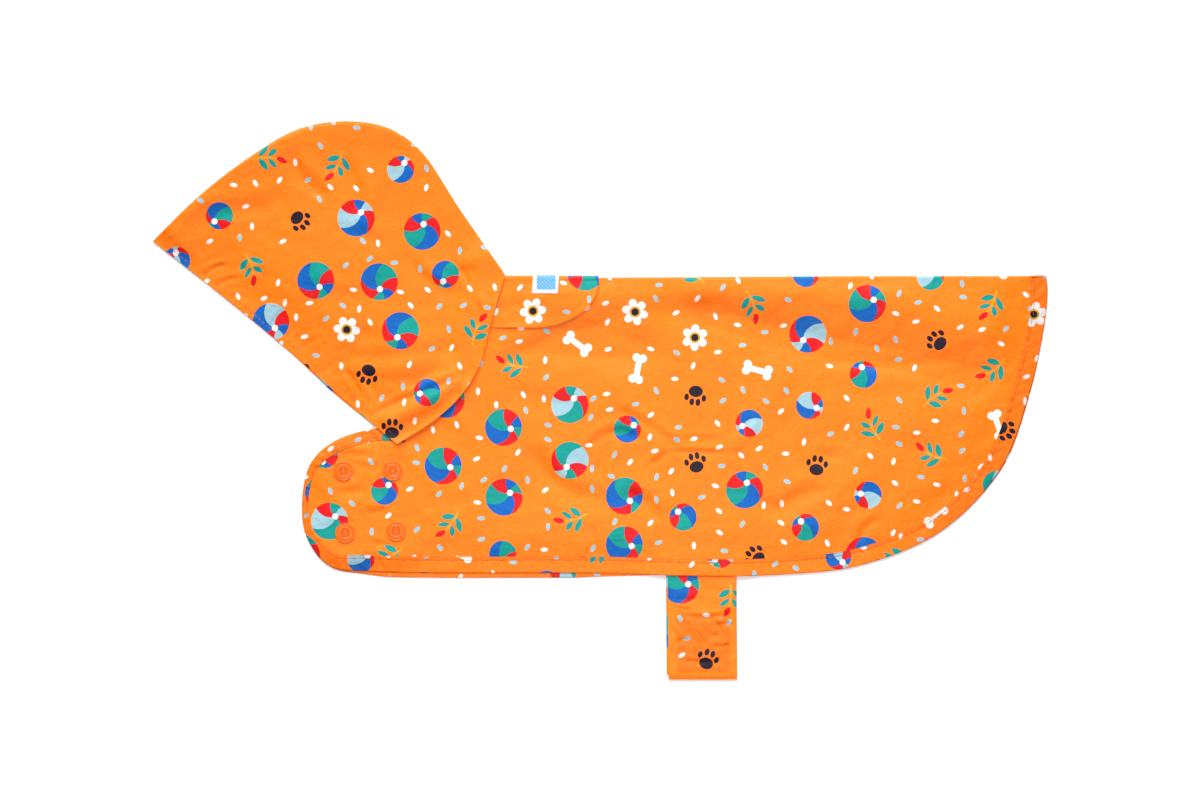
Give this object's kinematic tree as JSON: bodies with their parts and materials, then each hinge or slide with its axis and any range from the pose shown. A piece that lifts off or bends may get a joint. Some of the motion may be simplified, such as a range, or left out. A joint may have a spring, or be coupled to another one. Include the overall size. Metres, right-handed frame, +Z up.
{
  "type": "hooded dog raincoat, laid flat",
  "caption": "Hooded dog raincoat folded along its back and laid flat, with chest snaps, belly straps and a leash-hole flap.",
  "frame": {"origin": "centre of the footprint's box, on the surface the coat lies on", "axes": "+X from the hood to the tail along the back, +Y towards the back's fold, +Z up from the surface"},
  "size_m": [0.5809, 0.3624, 0.0078],
  "materials": {
    "printed_cloth": "coated polyester with a printed pattern, slight sheen",
    "strip_cloth": "strip of the same printed cloth, folded in and topstitched",
    "woven_label": "plain woven label, white",
    "snap_plastic": "orange-red moulded plastic"
  },
  "bodies": {
    "root": {"body": "printed_cloth", "hem_strip": "strip_cloth", "hood_near": "printed_cloth", "hood_far": "printed_cloth", "flap": "printed_cloth", "label": "woven_label", "strap_near": "printed_cloth", "strap_far": "printed_cloth", "snap_cap_1": "snap_plastic", "snap_cap_2": "snap_plastic", "snap_cap_3": "snap_plastic", "snap_cap_4": "snap_plastic", "snap_stud_1": "snap_plastic", "snap_stud_2": "snap_plastic", "snap_stud_3": "snap_plastic", "snap_stud_4": "snap_plastic"}
  },
  "joints": []
}
